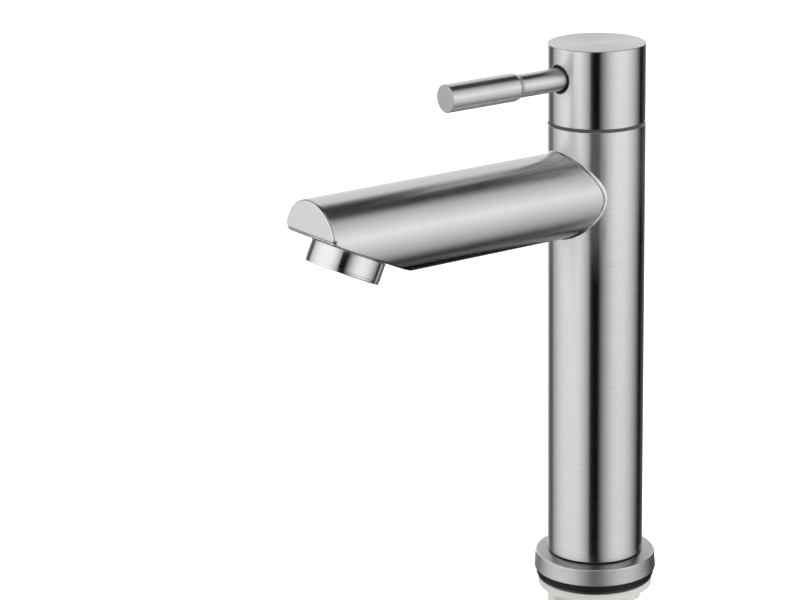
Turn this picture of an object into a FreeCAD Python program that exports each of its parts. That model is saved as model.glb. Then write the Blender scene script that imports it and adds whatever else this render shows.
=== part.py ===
import FreeCAD, Part
import os, math
from FreeCAD import Vector as V, Matrix, Placement, Rotation

# Single-lever cold basin tap, brushed stainless steel.  Units: millimetres.
# Frame: +Z up, Z axis = column axis, z = 0 = underside of the base flange.
# The spout and the lever point along -Y, +X is to the right seen from the front.

# ------------------------------------------------------------------ sizes
# column
BODY_R, BODY_WALL = 17.5, 1.5
Z_BODY0, Z_BODY1 = 7.4, 168.6
# base flange, slightly conical at its side and on top (FL_T at the rim, FL_TI under the column)
FL_T, FL_TI, FL_R0, FL_R1, FL_HOLE = 6.3, 6.9, 22.45, 21.95, 10.7
# seam ring between column and cap
SEAM_Z0, SEAM_Z1, SEAM_R = 168.6, 169.6, 17.2
# handle cap
CAP_R, CAP_WALL, CAP_Z0, CAP_Z1, CAP_TOP = 17.4, 1.6, 169.7, 197.4, 1.8
# lever
LEV_Z, LEV_R, LEV_RN, LEV_TIP, LEV_SH0, LEV_SH1 = 186.3, 4.95, 4.1, 66.0, 37.2, 35.3
LEV_SEAT, LEV_STUD_R, LEV_STUD_Y = 13.5, 2.95, 6.2
LEV_HOLE = 5.05
# spout
SP_Z, SP_R, SP_WALL, SP_TIP = 144.45, 15.45, 1.2, 122.4
CUT_T = math.radians(25.1)      # tilt of the flat underside of the spout tip
CUT_Y = 83.6                    # where that plane meets the lowest line of the tube
SOLE_T, CAPPLATE_T = 0.8, 1.2
BEAD = 0.65                     # weld bead round the spout root
# aerator, local axis square to the cut plane
AER_S, AER_R, AER_H = 25.45, 13.25, 7.85
AER_TH_R = 12.0                 # M24 x 1 male thread
# water way
RISER_R, RISER_WALL = 8.0, 1.2
BUSH_Z1 = 20.0
# G 1/2 shank
TH_R, TH_R_MIN, TH_PITCH = 10.4775, 9.3155, 1.8143
SHANK_Z0, SHANK_Z1, SHANK_BORE, TH_Z1 = -45.0, 15.4, 8.4, -0.6
# deck fixings
GASKET_T, GASKET_R = 2.55, 21.7
WASHER_Z1, WASHER_T, WASHER_R = -2.6, 1.0, 21.2
NUT_Z1, NUT_FL_T, NUT_R, NUT_BORE = -3.6, 3.2, 21.0, 10.55
NUT_HUB_R0, NUT_HUB_R1, NUT_WING_L, NUT_WING_T, NUT_END = 13.0, 12.3, 11.6, 3.8, 1.2
# valve
BLOCK_Z0, BLOCK_Z1, BLOCK_RIM_Z = 134.0, 163.0, 156.0
SEAT_Z = 142.0
SPIN_R, SPIN_BORE = 4.0, 4.06
Z_AX = V(0, 0, 1)

os.makedirs("parts", exist_ok=True)
NODES = {}


def cyl(r, z0, z1, x=0.0, y=0.0):
    return Part.makeCylinder(r, z1 - z0, V(x, y, z0), Z_AX)


def ring(ro, ri, z0, z1):
    return cyl(ro, z0, z1).cut(cyl(ri, z0 - 1, z1 + 1))


def cyl_dir(r, p, d, h):
    return Part.makeCylinder(r, h, p, d)


def lathe(pts):
    """Solid of revolution about Z from a closed (r, z) outline."""
    w = Part.makePolygon([V(r, 0, z) for r, z in pts] + [V(pts[0][0], 0, pts[0][1])])
    return Part.Face(w).revolve(V(0, 0, 0), Z_AX, 360)


def box(x0, y0, z0, x1, y1, z1):
    return Part.makeBox(x1 - x0, y1 - y0, z1 - z0, V(x0, y0, z0))


def arc_pts(cx, cz, r, a0, a1, n=6):
    return [(cx + r * math.cos(math.radians(a0 + (a1 - a0) * k / n)),
             cz + r * math.sin(math.radians(a0 + (a1 - a0) * k / n))) for k in range(n + 1)]


def one(shape):
    """The single solid of a boolean result, cleaned."""
    s = shape.removeSplitter()
    if s.ShapeType == "Compound" and len(s.Solids) == 1:
        s = s.Solids[0]
    return s


def put(name, shape):
    s = one(shape)
    assert s.isValid(), name
    assert s.Volume > 0, name
    NODES[name] = s
    s.exportStep("parts/%s.step" % name)


def sector(ri, ro, z0, z1, mid_deg, half_deg):
    """Ring sector centred on mid_deg."""
    a0, a1 = math.radians(mid_deg - half_deg), math.radians(mid_deg + half_deg)
    def p(r, a):
        return V(r * math.cos(a), r * math.sin(a), z0)
    am = (a0 + a1) / 2
    e = [Part.Arc(p(ri, a0), p(ri, am), p(ri, a1)).toShape(),
         Part.LineSegment(p(ri, a1), p(ro, a1)).toShape(),
         Part.Arc(p(ro, a1), p(ro, am), p(ro, a0)).toShape(),
         Part.LineSegment(p(ro, a0), p(ri, a0)).toShape()]
    return Part.Face(Part.Wire(e)).extrude(V(0, 0, z1 - z0))


def torus(R, r, z):
    return Part.makeTorus(R, r, V(0, 0, z), Z_AX)


def cone_y(r0, r1, y0, y1, z):
    """Frustum along -Y from distance y0 to y1 of the axis."""
    if abs(r0 - r1) < 1e-9:
        return Part.makeCylinder(r0, y1 - y0, V(0, -y0, z), V(0, -1, 0))
    return Part.makeCone(r0, r1, y1 - y0, V(0, -y0, z), V(0, -1, 0))


# ------------------------------------------------------------------ base
r_edge = 0.6
put("base_flange", lathe([(FL_HOLE, 0), (FL_R0 - 0.2, 0), (FL_R0, 0.2)]
    + arc_pts(FL_R1 - r_edge + 0.03, FL_T - r_edge, r_edge, 5, 82)
    + [(17.4, FL_TI), (FL_HOLE, FL_TI)]))
put("base_seal_ring", ring(17.2, 15.2, FL_TI, Z_BODY0))
put("base_bush", lathe([(TH_R + 0.03, Z_BODY0), (BODY_R - BODY_WALL - 0.05, Z_BODY0),
    (BODY_R - BODY_WALL - 0.05, BUSH_Z1 - 1), (BODY_R - BODY_WALL - 1.05, BUSH_Z1),
    (RISER_R + 0.03, BUSH_Z1), (RISER_R + 0.03, 17.0), (TH_R + 0.03, 17.0)]))

# ------------------------------------------------------------------ G 1/2 shank
# The 55 degree thread form is drawn as rings at the thread's pitch.
def screw_shank():
    flank = (TH_R - TH_R_MIN) * math.tan(math.radians(27.5))
    land = TH_PITCH / 2 - flank
    pts = [(SHANK_BORE, SHANK_Z1), (SHANK_BORE, SHANK_Z0 + 0.2), (SHANK_BORE + 0.2, SHANK_Z0),
           (TH_R_MIN - 0.1, SHANK_Z0), (TH_R_MIN, SHANK_Z0 + 0.1)]
    z = SHANK_Z0 + 0.6
    while z + TH_PITCH < TH_Z1:
        r = TH_R if z > SHANK_Z0 + 1.0 else TH_R - 0.45     # the first ring is turned down by the end chamfer
        f = (r - TH_R_MIN) * math.tan(math.radians(27.5))
        m = z + flank + land / 2
        h = land / 2 + (flank - f) * 0.6
        pts += [(TH_R_MIN, m - h - f), (r, m - h), (r, m + h), (TH_R_MIN, m + h + f)]
        z += TH_PITCH
    pts += [(TH_R_MIN, z + 0.3), (TH_R, z + 1.5), (TH_R, SHANK_Z1)]
    return lathe(pts)

put("threaded_shank", screw_shank())
put("shank_washer", ring(10.3, 8.5, SHANK_Z1, 17.0))

# ------------------------------------------------------------------ column and riser
column = ring(BODY_R, BODY_R - BODY_WALL, Z_BODY0, Z_BODY1)
column = column.cut(cyl_dir(SP_R - SP_WALL, V(0, -8, SP_Z), V(0, -1, 0), 20))
put("body_column", column)
put("riser_pipe", ring(RISER_R, RISER_R - RISER_WALL, 17.0, 139.2))

# ------------------------------------------------------------------ spout
st, ct = math.sin(CUT_T), math.cos(CUT_T)
P0 = V(0, -CUT_Y, SP_Z - SP_R)          # point of the cut plane on the tube's lowest line
W = V(0, st, ct)                         # normal of the cut plane, pointing into the spout
S = V(0, -ct, st)                        # direction in the plane, towards the tip


def above(w0, w1=200.0):
    """Half space box between offsets w0 and w1 over the cut plane."""
    b = Part.makeBox(80, 400, w1 - w0, V(-40, -200, 0))
    # local x -> X, local y -> S, local z -> W
    m = Matrix(1, 0, 0, 0,
               0, S.y, W.y, 0,
               0, S.z, W.z, 0,
               0, 0, 0, 1)
    b = b.transformed(m)
    b.translate(P0 + W * w0)
    return b


outer = cyl_dir(SP_R, V(0, 0, SP_Z), V(0, -1, 0), SP_TIP)
rim = Part.makeTorus(SP_R - 0.4, 0.4, V(0, -(SP_TIP - 0.4), SP_Z), V(0, 1, 0))
outer = outer.cut(cyl_dir(SP_R + 1, V(0, -(SP_TIP - 0.4), SP_Z), V(0, -1, 0), 5).cut(
    cyl_dir(SP_R - 0.4, V(0, -(SP_TIP - 0.4) + 1, SP_Z), V(0, -1, 0), 9)).cut(rim))
outer = outer.common(above(0.0))
body_solid = cyl(BODY_R, 100, 190)
outer = outer.cut(body_solid)
sole_zone = above(-1.0, SOLE_T)
tip_zone = box(-30, -SP_TIP - 5, 100, 30, -(SP_TIP - CAPPLATE_T), 190)
inner = cyl_dir(SP_R - SP_WALL, V(0, 10, SP_Z), V(0, -1, 0), SP_TIP + 30)
bead = cyl_dir(SP_R + BEAD, V(0, 0, SP_Z), V(0, -1, 0), 40).common(cyl(BODY_R + BEAD, 100, 190))
bead = bead.cut(cyl_dir(SP_R - 0.2, V(0, 5, SP_Z), V(0, -1, 0), 60)).cut(body_solid)
bead = bead.common(box(-40, -60, 100, 40, 0, 190))
tube = outer.cut(sole_zone).cut(tip_zone).cut(inner).fuse(bead)
put("spout_tube", tube)
put("spout_end_cap", outer.common(tip_zone).cut(sole_zone))

# local frame of the aerator: w = 0 on the cut plane, +w into the spout
AER_O = P0 + S * AER_S


def aer_place(shape):
    """Rigid move of a shape built about +Z on to the aerator axis."""
    q = Rotation(V(0, 0, 1), W)
    s = shape.copy()
    s.Placement = Placement(AER_O, q).multiply(s.Placement)
    return s


sole = outer.common(sole_zone)
boss = aer_place(ring(AER_TH_R + 1.1, AER_TH_R + 0.05, 0.0, 5.9)).fuse(
    aer_place(ring(AER_TH_R + 1.1, 10.5, 5.9, 7.0)))
sole = sole.fuse(boss).cut(aer_place(cyl(AER_TH_R + 0.05, -2, 5.9)))
put("spout_sole_plate", sole)

put("aerator_housing", aer_place(lathe(
    [(10.4, -AER_H), (AER_R - 0.5, -AER_H), (AER_R, -AER_H + 0.5), (AER_R, -0.45), (AER_R - 0.25, -0.2),
     (AER_TH_R, -0.2), (AER_TH_R, 4.1), (AER_TH_R - 0.4, 4.5), (11.0, 4.5), (11.0, -AER_H + 1.0),
     (10.4, -AER_H + 0.6)])))
grid = cyl(10.8, -6.6, -4.4).fuse(ring(10.8, 9.9, -4.4, 3.6))
holes = []
pit = 2.9
for i in range(-4, 5):
    for j in range(-4, 5):
        x, y = pit * (i + j * 0.5), pit * j * math.sqrt(3) / 2
        if math.hypot(x, y) < 8.8:
            holes.append(cyl(1.0, -8, -3, x, y))
grid = grid.cut(holes)
put("aerator_insert", aer_place(grid))
put("aerator_screen", aer_place(cyl(10.7, 3.65, 4.1)))
put("aerator_washer", aer_place(ring(11.9, 10.3, 4.5, 5.9)))

# ------------------------------------------------------------------ valve block and cartridge
block = lathe([(RISER_R + 0.03, BLOCK_Z0), (12.4, BLOCK_Z0), (12.4, BLOCK_RIM_Z),
               (15.95, BLOCK_RIM_Z), (15.95, BLOCK_Z1), (10.45, BLOCK_Z1), (10.45, BLOCK_RIM_Z),
               (9.5, BLOCK_RIM_Z), (9.5, SEAT_Z), (6.5, SEAT_Z), (6.5, 139.2), (RISER_R + 0.03, 139.2)])
for d in (V(1, 0, 0), V(-1, 0, 0), V(0, 1, 0), V(0, -1, 0)):
    block = block.cut(cyl_dir(2.6, V(d.x * 9, d.y * 9, 152.3), d, 5))
put("valve_block", block)

seal = cyl(8.6, SEAT_Z, SEAT_Z + 2.4)
disc1 = cyl(8.6, SEAT_Z + 2.4, SEAT_Z + 5.4)
disc2 = cyl(8.4, SEAT_Z + 5.45, SEAT_Z + 8.4)
for a in (0, 180):
    seal = seal.cut(sector(2.4, 6.6, SEAT_Z - 1, SEAT_Z + 9, a, 38))
    disc1 = disc1.cut(sector(2.4, 6.6, SEAT_Z - 1, SEAT_Z + 9, a, 38))
    disc2 = disc2.cut(sector(2.4, 6.6, SEAT_Z - 1, SEAT_Z + 9, a + 90, 38))
put("seat_seal", seal)
put("fixed_ceramic_disc", disc1)
disc2 = disc2.cut(box(-6.0, -1.5, SEAT_Z + 7.2, 6.0, 1.5, SEAT_Z + 10))
put("turning_ceramic_disc", disc2)

hexr = 11.0 / math.cos(math.pi / 6)
hexw = Part.makePolygon([V(hexr * math.cos(k * math.pi / 3), hexr * math.sin(k * math.pi / 3), 163.9)
                         for k in range(7)])
cart = Part.Face(hexw).extrude(V(0, 0, 4.5))
cart = cart.fuse(lathe([(0, 143.0), (9.3, 143.0), (9.3, BLOCK_RIM_Z), (10.4, BLOCK_RIM_Z + 0.6), (10.4, 163.9),
                        (7.5, 164.2), (7.5, 175.5), (7.0, 176.0), (0, 176.0)]))
cart = cart.cut(cyl(8.7, 142.0, 154.0)).cut(cyl(SPIN_BORE, 150, 180))
for a in (0, 90, 180, 270):
    cart = cart.cut(sector(8.0, 10.0, 150.9, 153.7, a, 24))
put("cartridge_body", cart)
put("cartridge_o_ring", torus(11.6, 0.45, 163.45))

shaft = lathe([(0, 150.45), (6.2, 150.45), (6.2, 153.4), (SPIN_R, 153.4),
               (SPIN_R, 168.4), (2.9, 168.4), (2.9, 169.8), (SPIN_R, 169.8),
               (SPIN_R, 171.6), (2.9, 171.6), (2.9, 173.0), (SPIN_R, 173.0),
               (SPIN_R, 176.2), (3.4, 176.2), (3.4, 177.0), (3.7, 177.0), (3.7, 188.2), (3.3, 188.6), (0, 188.6)])


def spline(r0, r1, z0, z1, n=20):
    pts = []
    for k in range(n):
        for f, r in ((-0.30, r0), (-0.16, r1), (0.16, r1), (0.30, r0)):
            a = 2 * math.pi * (k + f) / n
            pts.append(V(r * math.cos(a), r * math.sin(a), z0))
    return Part.Face(Part.makePolygon(pts + [pts[0]])).extrude(V(0, 0, z1 - z0))


shaft = shaft.fuse(spline(3.65, 4.0, 177.6, 188.0))
shaft = shaft.fuse(box(-5.8, -1.4, 149.35, 5.8, 1.4, 150.6))
shaft = shaft.cut(cyl(1.65, 179.5, 190))
put("cartridge_spindle", shaft)
put("spindle_o_rings", Part.makeCompound([torus(3.475, 0.55, 169.1), torus(3.475, 0.55, 172.3)]))
put("spindle_circlip", ring(6.0, 3.45, 176.25, 176.95).cut(box(-1.4, 1.0, 170, 1.4, 9, 180)))

# ------------------------------------------------------------------ seam ring
put("seam_ring", ring(SEAM_R, 14.6, SEAM_Z0, SEAM_Z1))

# ------------------------------------------------------------------ handle
ci = CAP_R - CAP_WALL
cap = lathe([(ci, CAP_Z0), (CAP_R - 0.15, CAP_Z0), (CAP_R, CAP_Z0 + 0.15)]
            + arc_pts(CAP_R - 0.45, CAP_Z1 - 0.45, 0.45, 0, 90, 5)
            + [(0, CAP_Z1), (0, CAP_Z1 - CAP_TOP), (ci, CAP_Z1 - CAP_TOP)])
cap = cap.cut(cyl_dir(LEV_HOLE, V(0, -10, LEV_Z), V(0, -1, 0), 20))
# small chamfer round the lever hole, following the curved wall
cap = cap.cut(Part.makeCone(LEV_HOLE, LEV_HOLE + 2.2, 2.2, V(0, -CAP_R + 0.35, LEV_Z), V(0, -1, 0)).common(
    box(-9, -22, LEV_Z - 9, 9, -CAP_R + 1.4, LEV_Z + 9)))
put("handle_cap", cap)

HUB_Z0, HUB_Z1, HUB_R = 171.2, 195.2, 15.7
hub = cyl(HUB_R, HUB_Z0, HUB_Z1)
hub = hub.cut(cyl(8.2, HUB_Z0 - 1, 177.3))
hub = hub.cut(spline(3.70, 4.05, 177.0, 188.9))
hub = hub.cut(cyl(2.2, 188.5, 196)).cut(cyl(4.4, 190.6, 196))
hub = hub.cut(cyl_dir(LEV_RN + 0.12, V(0, -LEV_SEAT, LEV_Z), V(0, -1, 0), 10))
hub = hub.cut(cyl_dir(LEV_STUD_R + 0.03, V(0, -5.6, LEV_Z), V(0, -1, 0), 12))
# two lightening pockets at the back
for sx in (-1, 1):
    hub = hub.cut(sector(7.0, 13.6, 179.0, 200.0, 90 - sx * 52, 34))
put("handle_hub", hub)
screw = cyl(1.6, 181.0, 190.6).fuse(cyl(3.5, 190.6, 193.6))
hx = Part.makePolygon([V(1.75 * math.cos(k * math.pi / 3), 1.75 * math.sin(k * math.pi / 3), 191.6) for k in range(7)])
screw = screw.cut(Part.Face(hx).extrude(V(0, 0, 4)))
put("hub_screw", screw)

lev = cone_y(LEV_RN, LEV_RN, LEV_SEAT, LEV_SH1 - 0.35, LEV_Z)
lev = lev.fuse(cone_y(LEV_RN - 0.15, LEV_RN - 0.15, LEV_SH1 - 0.5, LEV_SH1, LEV_Z))
lev = lev.fuse(cone_y(LEV_RN + 0.1, LEV_R, LEV_SH1, LEV_SH0, LEV_Z))
lev = lev.fuse(cone_y(LEV_R, LEV_R, LEV_SH0, LEV_TIP - 0.3, LEV_Z))
lev = lev.fuse(cone_y(LEV_R, LEV_R - 0.3, LEV_TIP - 0.3, LEV_TIP, LEV_Z))
lev = lev.fuse(cone_y(LEV_STUD_R, LEV_STUD_R, LEV_STUD_Y, LEV_SEAT + 0.5, LEV_Z))
put("handle_lever", lev)
# thin seal between the lever's neck and the hole in the cap's wall
put("lever_seal", cyl_dir(LEV_HOLE - 0.05, V(0, -15.75, LEV_Z), V(0, -1, 0), 0.6).cut(
    cyl_dir(LEV_RN + 0.03, V(0, -15, LEV_Z), V(0, -1, 0), 3)))

# ------------------------------------------------------------------ deck fixings
put("deck_gasket", ring(GASKET_R, 10.9, -GASKET_T, 0))
put("lower_washer", ring(WASHER_R, 10.9, WASHER_Z1 - WASHER_T, WASHER_Z1))

z_f = NUT_Z1 - NUT_FL_T
z_w = z_f - NUT_WING_L
z_e = z_w - NUT_END
nut = lathe([(0, NUT_Z1), (NUT_R, NUT_Z1), (NUT_R, z_f + 0.8)] + arc_pts(NUT_R - 0.8, z_f + 0.8, 0.8, 0, -90, 4)
            + [(NUT_HUB_R0, z_f), (NUT_HUB_R1, z_e + 0.5), (NUT_HUB_R1 - 0.5, z_e), (0, z_e)])
c = 1.3
prof = [V(8, 0, z_f + 0.5), V(NUT_R - 0.12, 0, z_f + 0.5), V(NUT_R - 0.12, 0, z_w + c)]
wing_e = [Part.LineSegment(prof[0], prof[1]).toShape(), Part.LineSegment(prof[1], prof[2]).toShape(),
          Part.Arc(prof[2], V(NUT_R - 0.12 - c + c * math.cos(math.pi / 4), 0, z_w + c - c * math.sin(math.pi / 4)),
                   V(NUT_R - 0.12 - c, 0, z_w)).toShape(),
          Part.LineSegment(V(NUT_R - 0.12 - c, 0, z_w), V(8, 0, z_w)).toShape(),
          Part.LineSegment(V(8, 0, z_w), prof[0]).toShape()]
wing = Part.Face(Part.Wire(wing_e)).extrude(V(0, NUT_WING_T, 0))
wing.translate(V(0, -NUT_WING_T / 2, 0))
wing = wing.common(cyl(NUT_R, z_e - 1, NUT_Z1))
for k in range(4):
    w = wing.copy()
    w.rotate(V(0, 0, 0), Z_AX, 90 * k)
    nut = nut.fuse(w)
nut = nut.cut(cyl(NUT_BORE, z_e - 5, NUT_Z1 + 5))
put("backnut", nut)

for k in sorted(NODES):
    b = NODES[k].BoundBox
    print("%-22s vol %9.1f  z %.2f..%.2f  solids %d" % (k, NODES[k].Volume, b.ZMin, b.ZMax, len(NODES[k].Solids)))
print(len(NODES), "nodes")
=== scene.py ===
import bpy, bmesh, math
from mathutils import Vector, Matrix


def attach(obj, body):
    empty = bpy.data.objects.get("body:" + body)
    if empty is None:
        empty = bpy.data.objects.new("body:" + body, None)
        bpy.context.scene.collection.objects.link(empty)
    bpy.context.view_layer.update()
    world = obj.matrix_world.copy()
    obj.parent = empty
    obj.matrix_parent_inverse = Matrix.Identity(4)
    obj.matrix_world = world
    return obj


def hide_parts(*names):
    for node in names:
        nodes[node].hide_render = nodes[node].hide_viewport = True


# Basin tap in brushed stainless steel: the looks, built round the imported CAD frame.
# All lengths below are in millimetres and are scaled to metres when a mesh is made.

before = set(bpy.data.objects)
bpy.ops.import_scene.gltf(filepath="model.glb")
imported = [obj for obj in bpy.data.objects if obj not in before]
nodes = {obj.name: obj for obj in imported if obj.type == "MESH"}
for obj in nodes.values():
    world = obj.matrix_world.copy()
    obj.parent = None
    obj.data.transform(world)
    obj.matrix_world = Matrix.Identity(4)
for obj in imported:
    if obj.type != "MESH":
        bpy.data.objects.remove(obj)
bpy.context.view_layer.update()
MM = 0.001
sin, cos, pi, sqrt, atan2 = math.sin, math.cos, math.pi, math.sqrt, math.atan2
rad = math.radians

# ------------------------------------------------------------------ sizes, as in the CAD
BODY_R, BODY_RI, Z0B, Z1B = 17.5, 16.0, 7.4, 168.6
FL_T, FL_TI, FL_R0, FL_R1, FL_HOLE = 6.3, 6.9, 22.45, 21.95, 10.7
CAP_R, CAP_RI, CAP_Z0, CAP_Z1, CAP_TOP = 17.4, 15.8, 169.7, 197.4, 1.8
LEV_Z, LEV_R, LEV_RN, LEV_TIP, LEV_SH0, LEV_SH1, LEV_HOLE = 186.3, 4.95, 4.1, 66.0, 37.2, 35.3, 5.05
SP_Z, SP_R, SP_RI, SP_TIP = 144.45, 15.45, 14.25, 122.4
CT = rad(25.1)
CUT_Y, SOLE_T, PLATE_T = 83.6, 0.8, 1.2
AER_S, AER_R, AER_H = 25.45, 13.25, 7.85
ST, CC = sin(CT), cos(CT)
P0 = Vector((0, -CUT_Y, SP_Z - SP_R))
W = Vector((0, ST, CC))
S = Vector((0, -CC, ST))
AER_O = P0 + S * AER_S
TH_R, TH_RM, TH_P = 10.4775, 9.3155, 1.8143


# ================================================================== materials
class Tree:
    """Small helper to write node trees."""

    def __init__(self, tree):
        self.t = tree
        tree.nodes.clear()

    def add(self, kind, **kw):
        n = self.t.nodes.new(kind)
        for k, v in kw.items():
            setattr(n, k, v)
        return n

    def put(self, sock, v):
        if isinstance(v, bpy.types.NodeSocket):
            self.t.links.new(v, sock)
        else:
            sock.default_value = v

    def math(self, op, a, b=0.0, c=None):
        n = self.add("ShaderNodeMath", operation=op)
        self.put(n.inputs[0], a)
        self.put(n.inputs[1], b)
        if c is not None:
            self.put(n.inputs[2], c)
        return n.outputs[0]

    def ss(self, x, a, b, lo=0.0, hi=1.0, kind="SMOOTHSTEP"):
        n = self.add("ShaderNodeMapRange", interpolation_type=kind)
        self.put(n.inputs[0], x)
        for i, v in zip((1, 2, 3, 4), (a, b, lo, hi)):
            n.inputs[i].default_value = v
        return n.outputs[0]

    def scaled(self, vec, s):
        n = self.add("ShaderNodeVectorMath", operation="MULTIPLY")
        self.put(n.inputs[0], vec)
        n.inputs[1].default_value = s
        return n.outputs[0]

    def noise(self, vec, scale=1.0, detail=3.0, rough=0.55):
        n = self.add("ShaderNodeTexNoise")
        self.put(n.inputs["Vector"], vec)
        n.inputs["Scale"].default_value = scale
        n.inputs["Detail"].default_value = detail
        n.inputs["Roughness"].default_value = rough
        return n.outputs["Fac"]

    def ramp(self, fac, stops):
        n = self.add("ShaderNodeValToRGB")
        e = n.color_ramp.elements
        while len(e) < len(stops):
            e.new(0.5)
        for el, (p, c) in zip(e, stops):
            el.position = p
            el.color = tuple(c) + (1.0,) if len(c) == 3 else c
        self.put(n.inputs[0], fac)
        return n.outputs[0]

    def bump(self, height, strength, dist, normal=None):
        n = self.add("ShaderNodeBump")
        n.inputs["Strength"].default_value = strength
        n.inputs["Distance"].default_value = dist
        self.put(n.inputs["Height"], height)
        if normal is not None:
            self.put(n.inputs["Normal"], normal)
        return n.outputs[0]


def shader(name):
    m = bpy.data.materials.new(name)
    m.use_nodes = True
    t = Tree(m.node_tree)
    out = t.add("ShaderNodeOutputMaterial")
    p = t.add("ShaderNodeBsdfPrincipled")
    t.t.links.new(p.outputs[0], out.inputs[0])
    co = t.add("ShaderNodeTexCoord").outputs["Object"]
    return m, t, p, co


def grey(v, tint=0.0):
    return (v * (1 + tint), v, v * (1 - tint))


def steel(name, stretch, base=0.70, rough=0.24, aniso=1.0, spread=0.044, fine=1.0, uv=True, bump=0.05, speck=0.0, turned=False, dull=None):
    """Brushed stainless steel. stretch = how fast the grain varies along x, y and z, or along the radius when turned.
    dull = (centre, near, far, metallic): heat and hand finishing left the part round that centre a little milky."""
    m, t, p, co = shader(name)
    if turned:
        sx = t.add("ShaderNodeSeparateXYZ")
        t.put(sx.inputs[0], co)
        x_, y_, z_ = sx.outputs
        cx = t.add("ShaderNodeCombineXYZ")
        t.put(cx.inputs[0], t.math("SQRT", t.math("ADD", t.math("MULTIPLY", x_, x_), t.math("MULTIPLY", y_, y_))))
        t.put(cx.inputs[1], t.math("MULTIPLY", t.math("ARCTAN2", y_, x_), 0.004))
        t.put(cx.inputs[2], z_)
        co = cx.outputs[0]
    v1 = t.scaled(co, tuple(s * 5200 * fine for s in stretch))
    v2 = t.scaled(co, tuple(s * 1300 * fine for s in stretch))
    n1 = t.noise(v1, 1.0, 2.0, 0.6)
    n2 = t.noise(v2, 1.0, 3.0, 0.6)
    n3 = t.noise(co, 38.0, 3.0, 0.55)
    g = t.math("ADD", t.math("MULTIPLY", n1, 0.55), t.math("MULTIPLY", n2, 0.45))
    if speck:
        n4 = t.noise(co, 2600.0, 2.0, 0.6)
        g = t.math("ADD", t.math("MULTIPLY", g, 1 - speck), t.math("MULTIPLY", n4, speck))
    col = t.ramp(g, [(0.28, grey(base - spread)), (0.50, grey(base)), (0.72, grey(base + spread))])
    t.put(p.inputs["Base Color"], col)
    r = t.math("ADD", t.ss(n2, 0.25, 0.75, rough - 0.022, rough + 0.022, "LINEAR"),
               t.ss(n3, 0.3, 0.7, -0.018, 0.018, "LINEAR"))
    p.inputs["Metallic"].default_value = 1.0
    if dull:
        vd = t.add("ShaderNodeVectorMath", operation="DISTANCE")
        k = (0.8, 1.6, 1.0)                   # the zone is shallow from front to back
        t.put(vd.inputs[0], t.scaled(co, k))
        vd.inputs[1].default_value = tuple(c * MM * s for c, s in zip(dull[0], k))
        t.put(p.inputs["Metallic"], t.ss(vd.outputs["Value"], dull[2] * MM, dull[1] * MM, 1.0, dull[3]))
    t.put(p.inputs["Roughness"], r)
    p.inputs["Anisotropic"].default_value = aniso
    p.inputs["Anisotropic Rotation"].default_value = 0.25
    if aniso > 0 and uv:
        tg = t.add("ShaderNodeTangent", direction_type="UV_MAP", uv_map="UVMap")
        t.put(p.inputs["Tangent"], tg.outputs[0])
    t.put(p.inputs["Normal"], t.bump(g, bump, 0.00003))
    return m


def plastic(name, col, rough=0.45, spread=0.04, coarse=60.0, bump=0.08, bscale=1800.0, sss=0.0, spec=0.5):
    m, t, p, co = shader(name)
    n1 = t.noise(co, coarse, 4.0, 0.6)
    n2 = t.noise(co, bscale, 3.0, 0.6)
    lo = tuple(max(0.0, c * (1 - spread * 2)) for c in col)
    hi = tuple(min(1.0, c * (1 + spread)) for c in col)
    t.put(p.inputs["Base Color"], t.ramp(n1, [(0.3, lo), (0.55, col), (0.75, hi)]))
    t.put(p.inputs["Roughness"], t.ss(t.math("ADD", t.math("MULTIPLY", n1, 0.5), t.math("MULTIPLY", n2, 0.5)),
                                      0.3, 0.7, rough - 0.06, rough + 0.06, "LINEAR"))
    p.inputs["Specular IOR Level"].default_value = spec
    if sss:
        p.inputs["Subsurface Weight"].default_value = sss
        p.inputs["Subsurface Radius"].default_value = (1.0, 0.9, 0.7)
        p.inputs["Subsurface Scale"].default_value = 0.0025
    t.put(p.inputs["Normal"], t.bump(n2, bump, 0.00005))
    return m


def metal(name, col, rough=0.3, spread=0.05, stretch=(0.05, 0.05, 1.0), grain=2600.0, bump=0.10):
    """Turned metal with tool marks, for brass and the like."""
    m, t, p, co = shader(name)
    n1 = t.noise(t.scaled(co, tuple(s * grain for s in stretch)), 1.0, 3.0, 0.6)
    n2 = t.noise(co, 55.0, 4.0, 0.6)
    g = t.math("ADD", t.math("MULTIPLY", n1, 0.6), t.math("MULTIPLY", n2, 0.4))
    lo = tuple(c * (1 - 1.6 * spread) for c in col)
    hi = tuple(min(1.0, c * (1 + spread)) for c in col)
    t.put(p.inputs["Base Color"], t.ramp(g, [(0.3, lo), (0.52, col), (0.72, hi)]))
    t.put(p.inputs["Roughness"], t.ss(g, 0.3, 0.7, rough - 0.06, rough + 0.08, "LINEAR"))
    p.inputs["Metallic"].default_value = 1.0
    t.put(p.inputs["Normal"], t.bump(n1, bump, 0.00004))
    return m


A = 0.012   # how slowly the grain changes along its own direction
steel_z = steel("brushed_around_z", (A, A, 1.0))
steel_col = steel("brushed_column", (A, A, 1.0), dull=((0.0, -14.0, 158.0), 20.0, 49.0, 0.90))
steel_y = steel("brushed_around_y", (A, 1.0, A))
steel_top = steel("brushed_flat_top", (A, 1.0, A), rough=0.42, aniso=0.35, spread=0.036)
steel_face = steel("brushed_flat_face", (A, A, 1.0), base=0.93, rough=0.56, aniso=0.30, spread=0.055, bump=0.08)
steel_end = steel("turned_lever_end", (0.5, 0.5, 0.5), base=0.57, rough=0.42, aniso=0.0, spread=0.035, fine=0.5)
steel_fl = steel("satin_flange_side", (0.3, 0.3, 1.0), base=0.60, rough=0.46, aniso=0.40, spread=0.13, fine=0.35, speck=0.6, bump=0.10)
# Flange top and rim: the top's base colour is darker than the side's, painted shade on the strip round the column's
# foot; the rim's brighter base colour is a painted highlight along the edge.
steel_fl_top_painted_shade = steel("satin_flange_top_painted_shade", (1.0, 1.0, A), base=0.41, rough=0.30, aniso=0.3, spread=0.02, bump=0.02, turned=True)
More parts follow.
